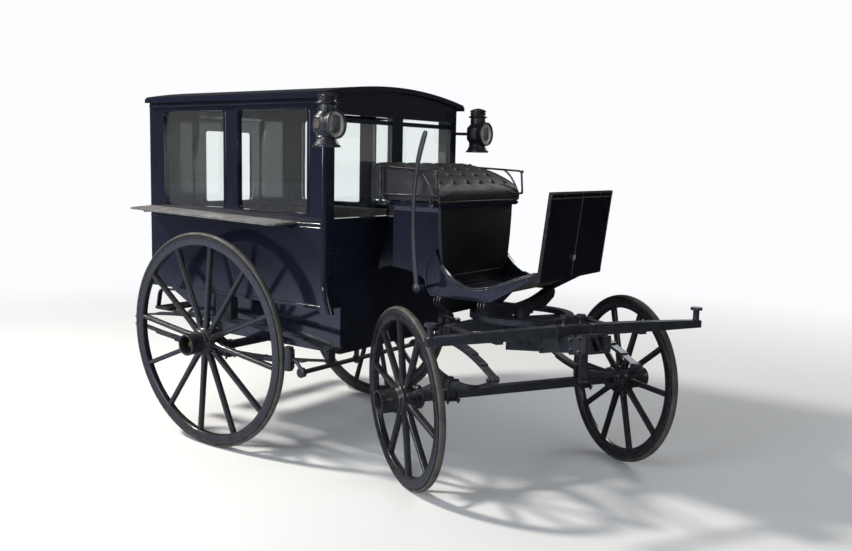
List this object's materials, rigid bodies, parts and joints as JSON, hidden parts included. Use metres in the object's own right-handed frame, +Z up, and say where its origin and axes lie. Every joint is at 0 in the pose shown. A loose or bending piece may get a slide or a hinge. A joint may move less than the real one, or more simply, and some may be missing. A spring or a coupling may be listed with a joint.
{
  "type": "horse-drawn coach",
  "caption": "Horse-drawn coach with a glazed cabin, rear door, raised driver's box, dashboard, lamps and a turning fore-carriage with a splinter bar.",
  "frame": {"origin": "middle of the whole coach's outline, on the ground", "axes": "+Z up, the coach faces -Y, its left side is +X"},
  "size_m": [1.799, 3.275, 2.0356],
  "materials": {
    "coach_paint": "gloss coach varnish over dark navy",
    "gear_paint": "satin, lightly worn",
    "wheel_wood": "painted charcoal, worn edges",
    "rubber_tyre": "dusty grey-black",
    "black_iron": "black enamel",
    "black_leather": "semi-gloss, tufted on the cushion",
    "bench_leather": "dark, satin",
    "lamp_metal": "black and dull nickel",
    "window_glass": "clear"
  },
  "bodies": {
    "coach_body": {"roof": "coach_paint", "side_wall_right": "coach_paint", "side_wall_left": "coach_paint", "side_glass_right": "window_glass", "side_glass_left": "window_glass", "front_wall": "coach_paint", "front_glass": "window_glass", "rear_wall": "coach_paint", "floor_and_footwell": "coach_paint", "bench_right": "bench_leather", "bench_left": "bench_leather", "driver_box": "coach_paint", "seat_front_panel": "black_leather", "driver_cushion": "black_leather", "seat_rails": "black_iron", "footboard": "coach_paint", "dashboard": "black_leather", "mudguard_right": "black_leather", "mudguard_left": "black_leather", "lamp_right": "lamp_metal", "lamp_left": "lamp_metal", "brake_lever": "gear_paint", "brake_gear": "gear_paint", "rear_axle": "gear_paint", "rear_spring_right": "gear_paint", "rear_spring_left": "gear_paint", "rear_step": "black_iron", "upper_bed": "gear_paint"},
    "rear_door": {"rear_door": "coach_paint", "door_glass": "window_glass"},
    "fore_carriage": {"front_axle": "gear_paint", "front_spring_right": "gear_paint", "front_spring_left": "gear_paint", "turntable": "gear_paint", "futchells": "gear_paint", "splinter_bar": "gear_paint"},
    "rear_right_wheel": {"wheel_rear_right": "wheel_wood", "tyre_rear_right": "rubber_tyre"},
    "rear_left_wheel": {"wheel_rear_left": "wheel_wood", "tyre_rear_left": "rubber_tyre"},
    "front_right_wheel": {"wheel_front_right": "wheel_wood", "tyre_front_right": "rubber_tyre"},
    "front_left_wheel": {"wheel_front_left": "wheel_wood", "tyre_front_left": "rubber_tyre"}
  },
  "joints": [
    {"name": "steering", "type": "hinge", "parent": "coach_body", "child": "fore_carriage", "pos_m": [0, -0.826, 0.85], "axis": [0, 0, 1], "range_deg": [-15, 75]},
    {"name": "rear_door_swing", "type": "hinge", "parent": "coach_body", "child": "rear_door", "pos_m": [0.294, 1.434, 1.3], "axis": [0, 0, -1], "range_deg": [0, 105]},
    {"name": "rear_right_roll", "type": "hinge", "parent": "coach_body", "child": "rear_right_wheel", "pos_m": [-0.74761, 0.766, 0.61], "axis": [-0.999, 0, -0.0436], "continuous": true},
    {"name": "rear_left_roll", "type": "hinge", "parent": "coach_body", "child": "rear_left_wheel", "pos_m": [0.74761, 0.766, 0.61], "axis": [0.999, 0, -0.0436], "continuous": true},
    {"name": "front_right_roll", "type": "hinge", "parent": "fore_carriage", "child": "front_right_wheel", "pos_m": [-0.56647, -0.49895, 0.461], "axis": [-0.8652, 0.4995, -0.0436], "continuous": true},
    {"name": "front_left_roll", "type": "hinge", "parent": "fore_carriage", "child": "front_left_wheel", "pos_m": [0.56647, -1.15305, 0.461], "axis": [0.8652, -0.4995, -0.0436], "continuous": true}
  ]
}
